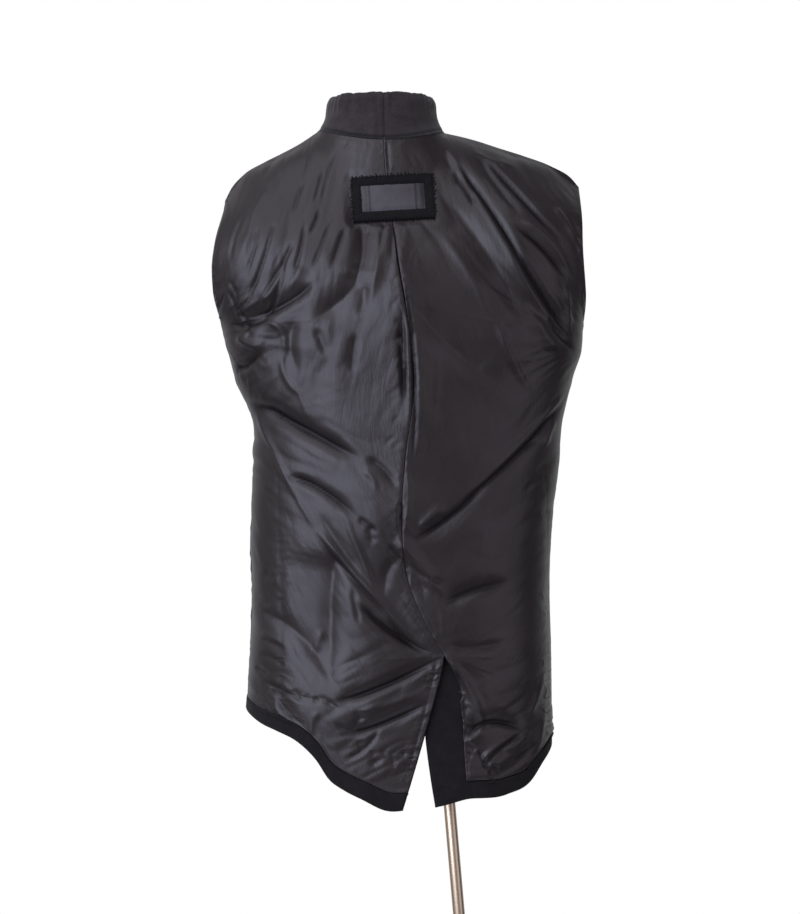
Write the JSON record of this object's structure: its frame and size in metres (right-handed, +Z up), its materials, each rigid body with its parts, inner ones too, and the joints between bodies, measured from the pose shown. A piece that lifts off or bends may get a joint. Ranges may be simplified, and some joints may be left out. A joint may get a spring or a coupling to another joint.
{
  "type": "inside-out overcoat on limbless dress form and stand",
  "caption": "Thigh-length overcoat turned inside out, satin lining outward, with stand collar and back vent, on a limbless dress form, leaning pole and round base.",
  "frame": {"origin": "on the floor under the coat's middle, a point of the base plate's flat underside", "axes": "+Z up, +Y the way the dress form faces, so the coat's back faces -Y, and +X to the form's right"},
  "size_m": [0.5336, 0.34, 1.5058],
  "materials": {
    "black_satin": "satin lining, semi-gloss",
    "black_wool": "fulled wool, matt",
    "grey_satin": "plain satin label, semi-gloss",
    "ecru_jersey": "matt jersey over a rigid form",
    "brushed_steel": "brushed"
  },
  "bodies": {
    "root": {"lining_back_left": "black_satin", "lining_back_right": "black_satin", "shell_back_left": "black_wool", "shell_back_right": "black_wool", "lining_front_left": "black_satin", "lining_front_right": "black_satin", "facing_left": "black_wool", "facing_right": "black_wool", "shell_front_left": "black_wool", "shell_front_right": "black_wool", "sleeve_lining_left": "black_satin", "sleeve_lining_right": "black_satin", "sleeve_shell_left": "black_wool", "sleeve_shell_right": "black_wool", "collar_left": "black_wool", "collar_right": "black_wool", "label_frame": "black_wool", "label": "grey_satin", "dress_form": "ecru_jersey", "neck_cap": "brushed_steel", "form_socket": "brushed_steel", "pole": "brushed_steel", "base_hub": "brushed_steel", "base_plate": "brushed_steel"}
  },
  "joints": []
}
